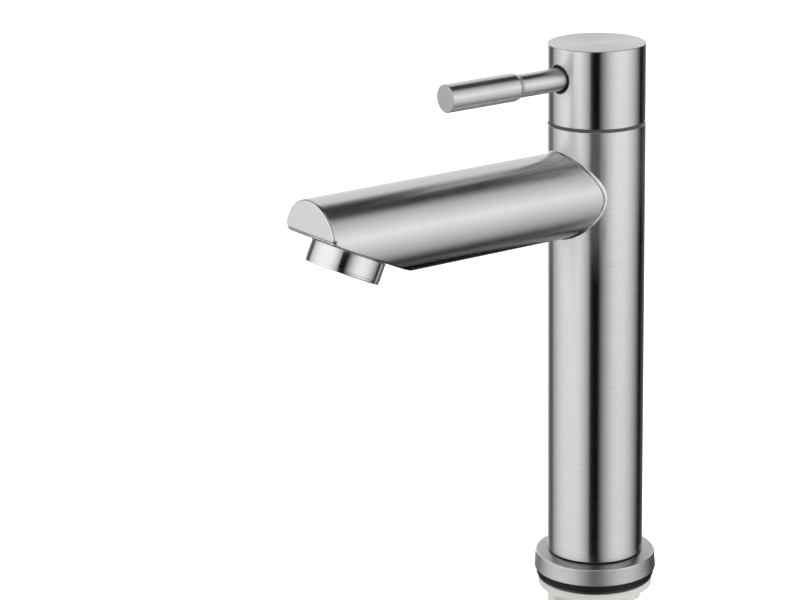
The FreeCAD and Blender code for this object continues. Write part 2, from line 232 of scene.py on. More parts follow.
steel_fl_rim_painted_highlight = steel("flange_rim_painted_highlight", (0.3, 0.3, 0.3), base=0.86, rough=0.30, aniso=0.0, spread=0.04, fine=0.35)
steel_w = steel("turned_aerator", (A, 0.42, 0.91), base=0.78, rough=0.18, aniso=0.95, spread=0.02)
steel_bead = steel("weld_bead", (0.5, 0.5, 0.5), base=0.74, rough=0.26, aniso=0.0, spread=0.04, fine=0.3)
bright = metal("bright_steel", (0.70, 0.70, 0.69), rough=0.19, spread=0.05)
bright_thread = metal("cut_thread_steel", (0.72, 0.71, 0.69), rough=0.17, spread=0.07, stretch=(0.02, 0.02, 1.0), grain=4200.0, bump=0.06)
brass = metal("turned_brass", (0.78, 0.58, 0.30), rough=0.28, spread=0.08)
rubber = plastic("black_rubber", (0.007, 0.007, 0.008), rough=0.50, spread=0.3, bump=0.15, bscale=2500.0, spec=0.22)
# Near-black rubber for the two thin rings at the column's foot and in the lever opening: dark rings put in to give the
# shadow gaps there (painted shade).
shadow_gap_black = plastic("seal_rubber_as_shadow_gap", (0.010, 0.010, 0.011), rough=0.65, spread=0.3, bump=0.1, spec=0.25)
blk_plastic = plastic("black_washer_plastic", (0.018, 0.018, 0.019), rough=0.38, spread=0.25)
grey_plastic = plastic("grey_glide_plastic", (0.060, 0.062, 0.066), rough=0.42, spread=0.10)
insert_plastic = plastic("aerator_insert_plastic", (0.42, 0.43, 0.44), rough=0.40, spread=0.06)
nut_plastic = plastic("natural_nut_plastic", (0.50, 0.505, 0.475), rough=0.42, spread=0.035, coarse=110.0, bump=0.06, bscale=900.0, sss=0.25)
ceramic = plastic("lapped_ceramic", (0.82, 0.80, 0.76), rough=0.15, spread=0.02, bump=0.03)


# ================================================================== mesh tools
def rounded(pts, n=5):
    """Closed or open outline of (a, b, radius) points with its corners turned into arcs."""
    out = []
    for i, p in enumerate(pts):
        a, b, r = p if len(p) == 3 else (p[0], p[1], 0.0)
        if r <= 0 or i in (0, len(pts) - 1):
            out.append((a, b))
            continue
        q0, q1 = Vector(pts[i - 1][:2]), Vector(pts[i + 1][:2])
        v = Vector((a, b))
        d0, d1 = (q0 - v).normalized(), (q1 - v).normalized()
        half = math.acos(max(-1, min(1, d0.dot(d1)))) / 2
        tl = r / math.tan(half)
        c = v + (d0 + d1).normalized() * (r / sin(half))
        s, e = v + d0 * tl - c, v + d1 * tl - c
        ang = math.acos(max(-1, min(1, s.dot(e) / (r * r))))
        for k in range(n + 1):
            f = k / n
            w = (s * sin(ang * (1 - f)) + e * sin(ang * f)) / sin(ang)
            out.append((c.x + w.x, c.y + w.y))
    return out


def place_z(x, y, z):
    return (x, y, z)


def place_lever(x, y, z):      # local z runs along -Y from the column axis
    return (x, -z, LEV_Z + y)


def place_spout(x, y, z):
    return (x, -z, SP_Z + y)


def place_aer(x, y, z):
    p = AER_O + Vector((x, 0, 0)) - S * y + W * z
    return (p.x, p.y, p.z)


FRAMES = {  # origin, axis and a reference direction for the cylindrical coordinates
    "z": (Vector((0, 0, 0)), Vector((0, 0, 1)), Vector((0, 1, 0))),
    "lever": (Vector((0, 0, LEV_Z)), Vector((0, -1, 0)), Vector((0, 0, -1))),
    "spout": (Vector((0, 0, SP_Z)), Vector((0, -1, 0)), Vector((-1, 0, 0))),
    "aer": (AER_O, W, Vector((0, 0, 1))),
}
PLACE = {"z": place_z, "lever": place_lever, "spout": place_spout, "aer": place_aer}


def finish_mesh(name, verts, faces, mats, body, rep=(), slot=None, frame_of="z", flat_mat=None, sharp=32.0,
                merge=0.0004, pick=None, extra=None):
    """Makes the object: merges shared points, turns the normals outwards, gives it UVs round its axis and rides it."""
    me = bpy.data.meshes.new(name)
    bm = bmesh.new()
    vs = [bm.verts.new((v[0] * MM, v[1] * MM, v[2] * MM)) for v in verts]
    for f in faces:
        q = []
        for i in f:
            if not q or vs[i] is not q[-1]:
                q.append(vs[i])
        if len(q) > 2 and len(set(q)) == len(q):
            try:
                bm.faces.new(q)
            except ValueError:
                pass
    bmesh.ops.remove_doubles(bm, verts=bm.verts, dist=merge * MM)
    bmesh.ops.dissolve_degenerate(bm, edges=bm.edges, dist=1e-8)
    if extra:
        extra(bm)
    loose = [v for v in bm.verts if not v.link_faces]
    if loose:
        bmesh.ops.delete(bm, geom=loose, context="VERTS")
    bmesh.ops.recalc_face_normals(bm, faces=bm.faces)
    bm.normal_update()
    o_, ax, ref = FRAMES[frame_of]
    o_ = o_ * MM
    e1 = (ref - ax * ref.dot(ax)).normalized()
    e2 = ax.cross(e1)
    uv = bm.loops.layers.uv.new("UVMap")
    for f in bm.faces:
        f.smooth = True
        us = []
        flat = abs(f.normal.dot(ax)) > 0.8
        for lp in f.loops:
            d = lp.vert.co - o_
            us.append([atan2(d.dot(e2), d.dot(e1)) / (2 * pi) + 0.5,
                       (d - ax * d.dot(ax)).length * 20 if flat else d.dot(ax) * 20])
        if len(f.verts) < 12 and max(u[0] for u in us) - min(u[0] for u in us) > 0.5:
            for u in us:
                if u[0] < 0.5:
                    u[0] += 1.0
        if len(f.verts) >= 12:      # flat caps: plain planar coordinates
            for u, lp in zip(us, f.loops):
                d = lp.vert.co - o_
                u[0], u[1] = d.dot(e2) * 20, d.dot(e1) * 20
        for u, lp in zip(us, f.loops):
            lp[uv].uv = u
        if pick:
            f.material_index = pick(f, o_, ax)
        elif flat_mat is not None and flat:
            f.material_index = flat_mat
    bm.to_mesh(me)
    bm.free()
    for m in mats:
        me.materials.append(m)
    me.set_sharp_from_angle(angle=rad(sharp))
    ob = bpy.data.objects.new(name, me)
    bpy.context.scene.collection.objects.link(ob)
    wn = ob.modifiers.new("weighted", "WEIGHTED_NORMAL")
    wn.keep_sharp = True
    wn.weight = 50
    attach(ob, body)
    if rep:
        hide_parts(*rep)
    return ob


def even(n):
    return [2 * pi * k / n for k in range(n)]


def revolve(profile, thetas=None, n=144, closed=True, frame_of="z", base=0):
    """Surface of revolution. thetas are measured from the local -Y direction."""
    th = thetas or even(n)
    pl = PLACE[frame_of]
    verts, faces, rings = [], [], []
    for r, z in profile:
        if r < 1e-6:
            rings.append([base + len(verts)] * len(th))
            verts.append(pl(0, 0, z))
        else:
            rings.append([base + len(verts) + k for k in range(len(th))])
            verts += [pl(r * sin(a), -r * cos(a), z) for a in th]
    m = len(profile)
    for i in range(m if closed else m - 1):
        a, b = rings[i], rings[(i + 1) % m]
        for k in range(len(th)):
            q = [a[k], a[(k + 1) % len(th)], b[(k + 1) % len(th)], b[k]]
            q = [v for j, v in enumerate(q) if v not in q[:j]]
            if len(q) > 2:
                faces.append(q)
    return verts, faces


def lathe(name, profile, mats, body, rep, slot, n=144, closed=True, frame_of="z", **kw):
    v, f = revolve(profile, n=n, closed=closed, frame_of=frame_of)
    return finish_mesh(name, v, f, mats, body, rep, slot, frame_of, **kw)


def hole_columns(R, half, per, n_out):
    a0 = math.asin(half / R)
    inner = [-a0 + 2 * a0 * i / per for i in range(per + 1)]
    xs = [R * sin(a) for a in inner]
    rest = [a0 + (2 * pi - 2 * a0) * k / n_out for k in range(1, n_out)]
    return xs, inner, inner + rest


def holed_wall(R, z_lo, z_hi, zc, hole_r, fil, half, per=24, n_out=110, rings=5, nf=5):
    """Cylinder wall of radius R with a round opening towards -Y. Returns points, faces and the opening's edge."""
    xs, inner, cols = hole_columns(R, half, per, n_out)
    zs = [zc - half + 2 * half * i / per for i in range(per + 1)]
    rows = [z_lo] + zs + [z_hi]
    verts, faces = [], []
    idx = {}

    def vert(x, y, z):
        verts.append((x, y, z))
        return len(verts) - 1

    nc = len(cols)
    for j, z in enumerate(rows):
        for i, a in enumerate(cols):
            if 0 < i < per and 1 < j < per + 1:
                continue            # inside the patch
            idx[i, j] = vert(R * sin(a), -R * cos(a), z)
    for j in range(len(rows) - 1):
        for i in range(nc):
            i2 = (i + 1) % nc
            if i < per and 1 <= j < per + 1:
                continue
            faces.append([idx[i, j], idx[i2, j], idx[i2, j + 1], idx[i, j + 1]])
    loop = ([(i, 1) for i in range(per)] + [(per, 1 + j) for j in range(per)]
            + [(per - i, per + 1) for i in range(per)] + [(0, per + 1 - j) for j in range(per)])
    prev = [idx[q] for q in loop]
    sq = [(verts[k][0], verts[k][2] - zc) for k in prev]
    ang = [atan2(b, a) for a, b in sq]
    ro = hole_r + fil

    def on(x, z, depth):
        return vert(x, -sqrt(R * R - x * x) + depth, z)

    for s in range(1, rings + 1):
        f = s / rings
        cur = []
        for (a, b), t in zip(sq, ang):
            x, z = a * (1 - f) + ro * cos(t) * f, b * (1 - f) + ro * sin(t) * f
            cur.append(on(x, zc + z, 0.0))
        for k in range(len(cur)):
            k2 = (k + 1) % len(cur)
            faces.append([prev[k], prev[k2], cur[k2], cur[k]])
        prev = cur
    if fil > 0:
        for s in range(1, nf + 1):
            g = pi / 2 * s / nf
            r, dp = ro - fil * sin(g), fil * (1 - cos(g))
            cur = [on(r * cos(t), zc + r * sin(t), dp) for t in ang]
            for k in range(len(cur)):
                k2 = (k + 1) % len(cur)
                faces.append([prev[k], prev[k2], cur[k2], cur[k]])
            prev = cur
    return verts, faces, prev, cols


def pipe_with_opening(R, RI, z_lo, z_hi, zc, hole_r, fil, half, half_i, per, n_out, outer_low, outer_top, inner_low, inner_top):
    """Hollow turned body with one side opening. The four short profiles join the outer wall to the inner wall."""
    v, f, edge, cols = holed_wall(R, z_lo[0], z_hi[0], zc, hole_r, fil, half, per, n_out)
    vi, fi, edge_i, cols_i = holed_wall(RI, z_lo[1], z_hi[1], zc, hole_r, 0.0, half_i, per, n_out)
    b = len(v)
    v += vi
    f += [[k + b for k in q] for q in fi]
    edge_i = [k + b for k in edge_i]
    n = len(edge)
    for k in range(n):
        f.append([edge[k], edge[(k + 1) % n], edge_i[(k + 1) % n], edge_i[k]])
    for prof, cset in ((outer_low, cols), (outer_top, cols), (inner_low, cols_i), (inner_top, cols_i)):
        if prof:
            vv, ff = revolve(prof, thetas=cset, closed=False, base=len(v))
            v += vv
            f += ff
    return v, f


# ================================================================== base
# The faces are sorted by slope: the flat top takes the darker painted-shade steel, the sloped rim the brighter
# painted-highlight steel, the side the plain satin steel.
lathe("tap_base_flange", rounded([(FL_HOLE, 3.0), (FL_HOLE, 0.0, 0.3), (FL_R0, 0.0, 0.30), (FL_R1 + 0.03, FL_T, 0.55),
                                  (17.4, FL_TI, 0.3), (FL_HOLE, FL_TI, 0.2), (FL_HOLE, 3.0)], 6)[:-1],
      [steel_fl, steel_fl_top_painted_shade, steel_fl_rim_painted_highlight], "tap_body", ["base_flange"], "brushed_steel", n=192, sharp=50,
      pick=lambda f, o, ax: 1 if f.normal.dot(ax) > 0.975 else 2 if f.normal.dot(ax) > 0.22 else 0)
# Thin black ring between column and flange, set in to draw the dark shadow line at the column's foot (painted shade).
lathe("tap_base_seal_shadow_line", rounded([(15.2, 7.15), (15.2, FL_TI), (17.2, FL_TI, 0.08), (17.2, Z0B, 0.08), (15.2, Z0B), (15.2, 7.15)], 3)[:-1],
      [shadow_gap_black], "tap_body", ["base_seal_ring"], "black_rubber", n=144)

# ================================================================== column
e = 0.22
v, f = pipe_with_opening(BODY_R, BODY_RI, (Z0B + e, Z0B + 0.1), (Z1B - e, Z1B - 0.1), SP_Z, SP_RI, 0.0, 15.4, 15.4, 56, 108,
                         [(BODY_R, Z0B + e), (BODY_R - 0.066, Z0B + 0.066), (BODY_R - e, Z0B)],
                         [(BODY_R, Z1B - e), (BODY_R - 0.066, Z1B - 0.066), (BODY_R - e, Z1B)],
                         [(BODY_RI, Z0B + 0.1), (BODY_RI + 0.1, Z0B)],
                         [(BODY_RI, Z1B - 0.1), (BODY_RI + 0.1, Z1B)])
# end faces between the two rims
_, _, c_out = hole_columns(BODY_R, 15.4, 56, 108)
_, _, c_in = hole_columns(BODY_RI, 15.4, 56, 108)


def end_ring(v, f, ro, ri, z, co_, ci_):
    b = len(v)
    v += [(ro * sin(a), -ro * cos(a), z) for a in co_] + [(ri * sin(a), -ri * cos(a), z) for a in ci_]
    n = len(co_)
    for k in range(n):
        k2 = (k + 1) % n
        f.append([b + k, b + k2, b + n + k2, b + n + k])


end_ring(v, f, BODY_R - e, BODY_RI + 0.1, Z0B, c_out, c_in)
end_ring(v, f, BODY_R - e, BODY_RI + 0.1, Z1B, c_out, c_in)
finish_mesh("tap_column", v, f, [steel_col], "tap_body", ["body_column"], "brushed_steel", "z", sharp=50)

lathe("tap_seam_ring", rounded([(14.6, 169.1), (14.6, 168.6), (17.2, 168.6, 0.12), (17.2, 169.6, 0.12), (14.6, 169.6), (14.6, 169.1)], 3)[:-1],
      [grey_plastic], "tap_body", ["seam_ring"], "grey_plastic", n=144)


# ================================================================== spout
def y_plane(z, w):
    """y where a line along Y at height z crosses the plane at offset w over the cut."""
    return -CUT_Y + (w - (z - P0.z) * CC) / ST


def tube_skin(r, n_up=96, n_lo=150):
    """Rays of the tube from the column to its trimmed end."""
    y_tip = -(SP_TIP - PLATE_T)
    zt = P0.z + (SOLE_T - (y_tip + CUT_Y) * ST) / CC
    a = math.asin((zt - SP_Z) / r)
    psi = [a + (pi - 2 * a) * k / n_up for k in range(n_up)] + [pi - a + (pi + 2 * a) * k / n_lo for k in range(n_lo)]
    root, mid, end = [], [], []
    for p in psi:
        x, z = r * cos(p), SP_Z + r * sin(p)
        yr = -sqrt(BODY_R ** 2 - x * x) + 0.05
        ye = max(y_tip, y_plane(z, SOLE_T))
        root.append((x, yr, z))
        end.append((x, ye, z))
        mid.append((x, yr + (ye - yr) * 0.5, z))
    return root, mid, end


ro, mo, eo = tube_skin(SP_R)
ri, mi, ei = tube_skin(SP_RI)
n = len(ro)
v = ro + mo + eo + ei + mi + ri
f = []
for lvl in range(6):
    for k in range(n):
        k2 = (k + 1) % n
        a, b = lvl * n, ((lvl + 1) % 6) * n
        f.append([a + k, a + k2, b + k2, b + k])
finish_mesh("tap_spout_tube", v, f, [steel_y], "tap_body", ["spout_tube"], "brushed_steel", "spout", sharp=40)

# weld bead round the root: a half-round fillet that follows the curve where the two tubes meet
v, f = [], []
n, m = 220, 12
for k in range(n):
    p = 2 * pi * k / n
    x, z = SP_R * cos(p), SP_Z + SP_R * sin(p)
    y = -sqrt(BODY_R ** 2 - x * x)
    n1 = Vector((cos(p), 0, sin(p)))
    n2 = Vector((x / BODY_R, y / BODY_R, 0))
    t = n1.cross(n2).normalized()
    mean = (n1 + n2).normalized()
    side = t.cross(mean)
    wob = 1 + 0.03 * sin(31 * p) + 0.02 * sin(53 * p + 1)
    c = Vector((x, y, z)) + mean * 0.02
    for j in range(m):
        q = 2 * pi * j / m
        w = c + mean * (cos(q) * 0.36 * wob) + side * (sin(q) * 1.0 * wob)
        v.append(tuple(w))
for k in range(n):
    for j in range(m):
        k2, j2 = (k + 1) % n, (j + 1) % m
        f.append([k * m + j, k2 * m + j, k2 * m + j2, k * m + j2])
finish_mesh("tap_spout_weld", v, f, [steel_bead], "tap_body", [], "brushed_steel", "spout", sharp=60)


# D-shaped end plate
def d_outline(r, yb, inset, corner=2.0, n_arc=90, n_c=8):
    """Points (x, z) of the plate's outline at depth yb: an arc closed by a straight lower edge with rounded corners."""
    zb = P0.z + (SOLE_T - (yb + CUT_Y) * ST) / CC + inset * 0.35
    rr = r - inset
    a = math.asin((zb - SP_Z) / rr)
    da = corner / rr
    arc = [(rr * cos(a + da + (pi - 2 * a - 2 * da) * k / n_arc), SP_Z + rr * sin(a + da + (pi - 2 * a - 2 * da) * k / n_arc))
           for k in range(n_arc + 1)]
    xc = rr * cos(a)
    left = []
    for sgn, start in ((-1, arc[-1]), (1, arc[0])):
        c, e2 = (sgn * xc, zb), (sgn * (xc - corner), zb)
        pts = [((1 - t) ** 2 * start[0] + 2 * t * (1 - t) * c[0] + t * t * e2[0],
                (1 - t) ** 2 * start[1] + 2 * t * (1 - t) * c[1] + t * t * e2[1]) for t in [(i + 1) / n_c for i in range(n_c)]]
        left.append(pts)
    low = [(-(xc - corner) + 2 * (xc - corner) * k / 24, zb) for k in range(1, 24)]
    return arc + left[0] + low + left[1][::-1]


def loft(loops, cap0=True, cap1=True):
    n = len(loops[0])
    v = [p for lp in loops for p in lp]
    f = []
    for i in range(len(loops) - 1):
        for k in range(n):
            k2 = (k + 1) % n
            f.append([i * n + k, i * n + k2, (i + 1) * n + k2, (i + 1) * n + k])
    if cap0:
        f.append(list(range(n)))
    if cap1:
        f.append([(len(loops) - 1) * n + k for k in range(n)][::-1])
    return v, f


loops = []
for yb, ins in [(-(SP_TIP - PLATE_T), 0.0), (-(SP_TIP - 0.8), 0.0)] + \
        [(-(SP_TIP - 0.8 + 0.8 * sin(rad(g))), 0.8 * (1 - cos(rad(g)))) for g in (15, 30, 45, 60, 75, 90)]:
    loops.append([(x, yb, z) for x, z in d_outline(SP_R, yb, ins)])
v, f = loft(loops)
finish_mesh("tap_spout_end_plate", v, f, [steel_y, steel_face], "tap_body", ["spout_end_cap"], "brushed_steel", "spout",
            sharp=50, flat_mat=1)


# slanted sole plate with softened lower edges
def sole_outline(w, dx, ds, dt, corner=2.6, n_e=150, n_c=8):
    """Points (x, s) of the sole's outline at offset w, drawn in by dx at the sides, ds at the rear and dt at the tip."""
    A_, B_ = SP_R - dx, SP_R / ST - ds
    sc = SP_R / ST - w * CC / ST
    st = (SP_TIP - CUT_Y) / CC + w * ST / CC - dt
    a = math.asin(max(-1, min(1, (st - sc) / B_)))
    da = corner / 14.0
    lo = [(A_ * cos(q), sc + B_ * sin(q)) for q in [pi - a + da + (pi + 2 * a - 2 * da) * k / n_e for k in range(n_e + 1)]]
    xc = A_ * cos(a)
    right = [((1 - t) ** 2 * lo[-1][0] + 2 * t * (1 - t) * xc + t * t * (xc - corner),
              (1 - t) ** 2 * lo[-1][1] + 2 * t * (1 - t) * st + t * t * st) for t in [(i + 1) / n_c for i in range(n_c)]]
    top = [((xc - corner) - 2 * (xc - corner) * k / 24, st) for k in range(1, 24)]
    left = [((1 - t) ** 2 * lo[0][0] + 2 * t * (1 - t) * (-xc) + t * t * (-(xc - corner)),
             (1 - t) ** 2 * lo[0][1] + 2 * t * (1 - t) * st + t * t * st) for t in [(i + 1) / n_c for i in range(n_c)]]
    return lo + right + top + left[::-1]


def sole_point(x, s, w):
    p = P0 + S * s + W * w + Vector((x, 0, 0))
    return (p.x, p.y, p.z)


loops = [[sole_point(x, s, SOLE_T) for x, s in sole_outline(SOLE_T, 0, 0, 0)],
         [sole_point(x, s, 0.50) for x, s in sole_outline(0.50, 0, 0, 0)]]
for t in (0.2, 0.4, 0.6, 0.8, 1.0):      # a parabola from the side wall to the flat
    w = 0.50 * (1 - t) ** 2
    k = t * t
    loops.append([sole_point(x, s, w) for x, s in sole_outline(w, 0.8 * k, 2.2 * k, 0.6 * k)])
v, f = loft(loops)
sole = finish_mesh("tap_spout_sole", v, f, [steel_y, steel_face], "tap_body", ["spout_sole_plate"], "brushed_steel", "spout",
                   sharp=50, pick=lambda f, o, ax: 1 if abs(f.normal.dot(W)) > 0.97 else 0)
vv, ff = revolve([(12.05, -3.0), (12.05, 3.0), (0, 3.0), (0, -3.0)], n=96, closed=True, frame_of="aer")
cut_me = bpy.data.meshes.new("cutter")
bmc = bmesh.new()
cv = [bmc.verts.new((p[0] * MM, p[1] * MM, p[2] * MM)) for p in vv]
for q in ff:
    bmc.faces.new([cv[i] for i in q])
bmesh.ops.recalc_face_normals(bmc, faces=bmc.faces)
bmc.to_mesh(cut_me)
bmc.free()
cutter = bpy.data.objects.new("cutter", cut_me)
bpy.context.scene.collection.objects.link(cutter)
bo = sole.modifiers.new("hole", "BOOLEAN")
bo.operation, bo.solver, bo.object = "DIFFERENCE", "EXACT", cutter
sole.modifiers.move(1, 0)
bpy.context.view_layer.update()
new_me = bpy.data.meshes.new_from_object(sole.evaluated_get(bpy.context.evaluated_depsgraph_get()))
sole.modifiers.clear()
sole.data = new_me
wn = sole.modifiers.new("weighted", "WEIGHTED_NORMAL")
wn.keep_sharp = True
bpy.data.objects.remove(cutter)
lathe("tap_aerator_socket", [(12.05, 0.75), (13.1, 0.75), (13.1, 7.0), (10.5, 7.0), (10.5, 5.9), (12.05, 5.9)],
      [steel_w], "tap_body", [], "brushed_steel", n=96, frame_of="aer")

# ================================================================== aerator
lathe("tap_aerator_housing", rounded([(11.0, -3.0), (11.0, -AER_H + 1.0), (10.4, -AER_H + 0.6), (10.4, -AER_H, 0.20), (AER_R - 0.12, -AER_H, 0.40),
                                      (AER_R - 0.12, -AER_H + 1.0, 0.08), (AER_R, -AER_H + 1.1, 0.08), (AER_R, -0.2, 0.25), (12.0, -0.2), (12.0, 4.1),
                                      (11.6, 4.5), (11.0, 4.5), (11.0, -3.0)], 5)[:-1],
      [steel_w], "tap_body", ["aerator_housing"], "bright_steel", n=160, frame_of="aer")

# ================================================================== handle
hf = 0.38
v, f = pipe_with_opening(CAP_R, CAP_RI, (CAP_Z0 + 0.18, CAP_Z0 + 0.1), (CAP_Z1 - 0.42, CAP_Z1 - CAP_TOP), LEV_Z, LEV_HOLE, hf, 7.6, 7.6, 28, 140,
                         [(CAP_R, CAP_Z0 + 0.18), (CAP_R - 0.05, CAP_Z0 + 0.05), (CAP_R - 0.18, CAP_Z0)],
                         [(CAP_R - 0.42 * (1 - cos(rad(g))), CAP_Z1 - 0.42 + 0.42 * sin(rad(g))) for g in (0, 15, 30, 45, 60, 75, 90)]
                         + [(12.0, CAP_Z1), (6.0, CAP_Z1), (0, CAP_Z1)],
                         [(CAP_RI, CAP_Z0 + 0.1), (CAP_RI + 0.1, CAP_Z0)],
                         [(CAP_RI, CAP_Z1 - CAP_TOP), (8.0, CAP_Z1 - CAP_TOP), (0, CAP_Z1 - CAP_TOP)])
_, _, c_out = hole_columns(CAP_R, 7.6, 28, 140)
_, _, c_in = hole_columns(CAP_RI, 7.6, 28, 140)
end_ring(v, f, CAP_R - 0.18, CAP_RI + 0.1, CAP_Z0, c_out, c_in)
finish_mesh("tap_handle_cap", v, f, [steel_z, steel_top], "handle", ["handle_cap"], "brushed_steel", "z", flat_mat=1, sharp=50)

lathe("tap_handle_lever",
      rounded([(0, 6.2), (2.95, 6.2, 0.2), (2.95, 13.5), (LEV_RN, 13.5, 0.2), (LEV_RN, LEV_SH1 - 0.55, 0.12), (LEV_RN - 0.16, LEV_SH1 - 0.42),
               (LEV_RN - 0.16, LEV_SH1 - 0.08), (LEV_RN + 0.12, LEV_SH1, 0.06), (LEV_R, LEV_SH0, 0.35), (LEV_R, LEV_TIP, 0.30), (0, LEV_TIP)], 5),
      [steel_y, steel_end], "handle", ["handle_lever"], "brushed_steel", n=96, closed=False, frame_of="lever", flat_mat=1, sharp=50)

# ================================================================== threaded shank
N = 96
rows_t = [(0.00, TH_RM), (0.07, TH_RM + 0.05), (0.38, TH_R - 0.07), (0.44, TH_R), (0.56, TH_R), (0.62, TH_R - 0.07), (0.93, TH_RM + 0.05)]
RZ0, RZ1, RE = -45.0, -0.6, 9.15
turns = int((RZ1 - RZ0) / TH_P) + 4
verts, faces = [], []
nr = turns * len(rows_t)
for i in range(N):
    th = 2 * pi * i / N
    for j in range(nr):
        t, r = rows_t[j % len(rows_t)]
        z = RZ0 - 2 * TH_P + TH_P * (j // len(rows_t) + t) + TH_P * i / N
        if z <= RZ0:
            z, r = RZ0, RE
        elif z >= RZ1:
            z, r = RZ1, TH_R
        else:
            r = min(r, RE + (z - RZ0) * 1.0)
            r = max(r, TH_RM + (TH_R - TH_RM) * max(0.0, 1 + (z - RZ1) / 1.5))
        verts.append((r * sin(th), -r * cos(th), z))
for i in range(N):
    i2 = (i + 1) % N
    sh = len(rows_t) if i == N - 1 else 0
    for j in range(nr - 1):
        if j + sh + 1 < nr:
            faces.append([i * nr + j, i2 * nr + j + sh, i2 * nr + j + 1 + sh, i * nr + j + 1])
vv, ff = revolve([(RE, RZ0), (8.62, RZ0), (8.4, RZ0 + 0.22), (8.4, 15.4), (TH_R, 15.4), (TH_R, RZ1)],
                 thetas=[2 * pi * i / N for i in range(N)], closed=False, base=len(verts))
finish_mesh("tap_threaded_shank", verts + vv, faces + ff, [bright_thread], "tap_body", ["threaded_shank"], "bright_steel", "z",
            sharp=55, merge=0.002)

# ================================================================== deck fixings
lathe("tap_deck_gasket", rounded([(10.9, -1.2), (10.9, -2.55, 0.2), (21.7, -2.55, 0.45), (21.7, 0.0, 0.45), (10.9, 0.0, 0.2), (10.9, -1.2)], 5)[:-1],
      [rubber], "tap_body", ["deck_gasket"], "black_rubber", n=160)
lathe("tap_lower_washer", rounded([(10.9, -3.1), (10.9, -3.6, 0.1), (21.2, -3.6, 0.22), (21.2, -2.6, 0.22), (10.9, -2.6, 0.1), (10.9, -3.1)], 4)[:-1],
      [blk_plastic], "nut_carrier", ["lower_washer"], "black_plastic", n=160)

# Winged backnut, moulded in one piece: overlapping closed shells are fused by a voxel remesh and softened.
NZ1, NFL, NR, NB = -3.6, 3.2, 21.0, 10.55
zf = NZ1 - NFL
zw = zf - 11.6
ze = zw - 1.2
verts, faces = revolve([(NB, NZ1), (NR, NZ1), (NR, zf), (13.3, zf), (12.9, zf - 0.9), (12.35, ze), (NB, ze)], n=128)


def prism(points, thick, ang, z_dir=True):
    """Closed prism: points (r, z) spread sideways by thick and turned to an angle."""
    global verts, faces
    b = len(verts)
    for sgn in (-1, 1):
        for r, z in points:
            x, y = r, sgn * thick / 2
            verts.append((x * cos(ang) - y * sin(ang), x * sin(ang) + y * cos(ang), z))
    m_ = len(points)
    faces.append([b + k for k in range(m_)])
    faces.append([b + m_ + k for k in range(m_)][::-1])
    for k in range(m_):
        k2 = (k + 1) % m_
        faces.append([b + k, b + k2, b + m_ + k2, b + m_ + k])


for q in range(4):
    an = pi / 2 * q
    cr = [(NR - 0.15 - 1.5 * (1 - cos(rad(g))), zw + 1.5 * (1 - sin(rad(g)))) for g in (0, 18, 36, 54, 72, 90)]
    prism([(11.4, zf + 1.0), (NR - 0.15, zf + 1.0)] + cr + [(11.4, zw)], 3.8, an)
    prism([(11.4, zf + 0.5), (NR - 0.9, zf + 0.5), (NR - 0.9, zf - 0.55), (11.4, zf - 0.55)], 5.4, an)
    prism([(11.4, zf + 0.5), (13.9, zf + 0.5), (13.5, zw + 0.6), (11.4, zw + 0.6)], 5.2, an)
raw = bpy.data.meshes.new("nut_raw")
bm = bmesh.new()
vs = [bm.verts.new((p[0] * MM, p[1] * MM, p[2] * MM)) for p in verts]
for q in faces:
    bm.faces.new([vs[i] for i in q])
bmesh.ops.recalc_face_normals(bm, faces=bm.faces)
bm.to_mesh(raw)
bm.free()
tmp = bpy.data.objects.new("nut_tmp", raw)
bpy.context.scene.collection.objects.link(tmp)
rm = tmp.modifiers.new("remesh", "REMESH")
rm.mode, rm.voxel_size, rm.use_smooth_shade = "VOXEL", 0.00036, True
sm = tmp.modifiers.new("smooth", "SMOOTH")
sm.factor, sm.iterations = 0.5, 7
bpy.context.view_layer.update()
nut_me = bpy.data.meshes.new_from_object(tmp.evaluated_get(bpy.context.evaluated_depsgraph_get()))
nut_me.name = "tap_backnut"
bpy.data.objects.remove(tmp)
for p in nut_me.polygons:
    p.use_smooth = True
nut_me.materials.clear()
nut_me.materials.append(nut_plastic)
nut = bpy.data.objects.new("tap_backnut", nut_me)
bpy.context.scene.collection.objects.link(nut)
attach(nut, "nut")
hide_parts("backnut")

# ================================================================== CAD nodes that stay, with their own materials
STAY = {
    "base_bush": brass, "shank_washer": rubber, "riser_pipe": bright, "aerator_insert": insert_plastic,
    "aerator_screen": bright, "aerator_washer": rubber, "valve_block": brass, "seat_seal": rubber,
    "fixed_ceramic_disc": ceramic, "turning_ceramic_disc": ceramic, "cartridge_body": brass, "cartridge_o_ring": rubber,
    # lever_seal: black ring just inside the lever opening, standing in for the shade in the gap round the lever
    # (painted shade).
    "cartridge_spindle": brass, "spindle_o_rings": rubber, "spindle_circlip": bright, "handle_hub": brass, "hub_screw": bright, "lever_seal": shadow_gap_black,
}
for name, mat in STAY.items():
    if name not in nodes:
        continue
    me = nodes[name].data
    me.materials.clear()
    me.materials.append(mat)

# ================================================================== stage
sc = bpy.context.scene
FLOOR_Z = -45.0
bm = bmesh.new()
bmesh.ops.create_circle(bm, cap_ends=True, segments=96, radius=30.0)
fme = bpy.data.meshes.new("floor")
bm.to_mesh(fme)
bm.free()
floor = bpy.data.objects.new("floor", fme)
floor.location = (0, 0, FLOOR_Z * MM)
sc.collection.objects.link(floor)
fm, t, p, co = shader("pale_floor")
nf = t.noise(co, 3.0, 3.0, 0.5)
t.put(p.inputs["Base Color"], t.ramp(nf, [(0.3, (0.86, 0.86, 0.86)), (0.7, (0.88, 0.88, 0.88))]))
p.inputs["Roughness"].default_value = 0.9
p.inputs["Specular IOR Level"].default_value = 0.0
p.inputs["Emission Color"].default_value = (1, 1, 1, 1)
vl = t.add("ShaderNodeVectorMath", operation="LENGTH")
t.put(vl.inputs[0], co)
t.put(p.inputs["Emission Strength"], t.ss(vl.outputs["Value"], 1.2, 4.6, 0.30, 0.60, "LINEAR"))
fme.materials.append(fm)
floor.visible_glossy = False

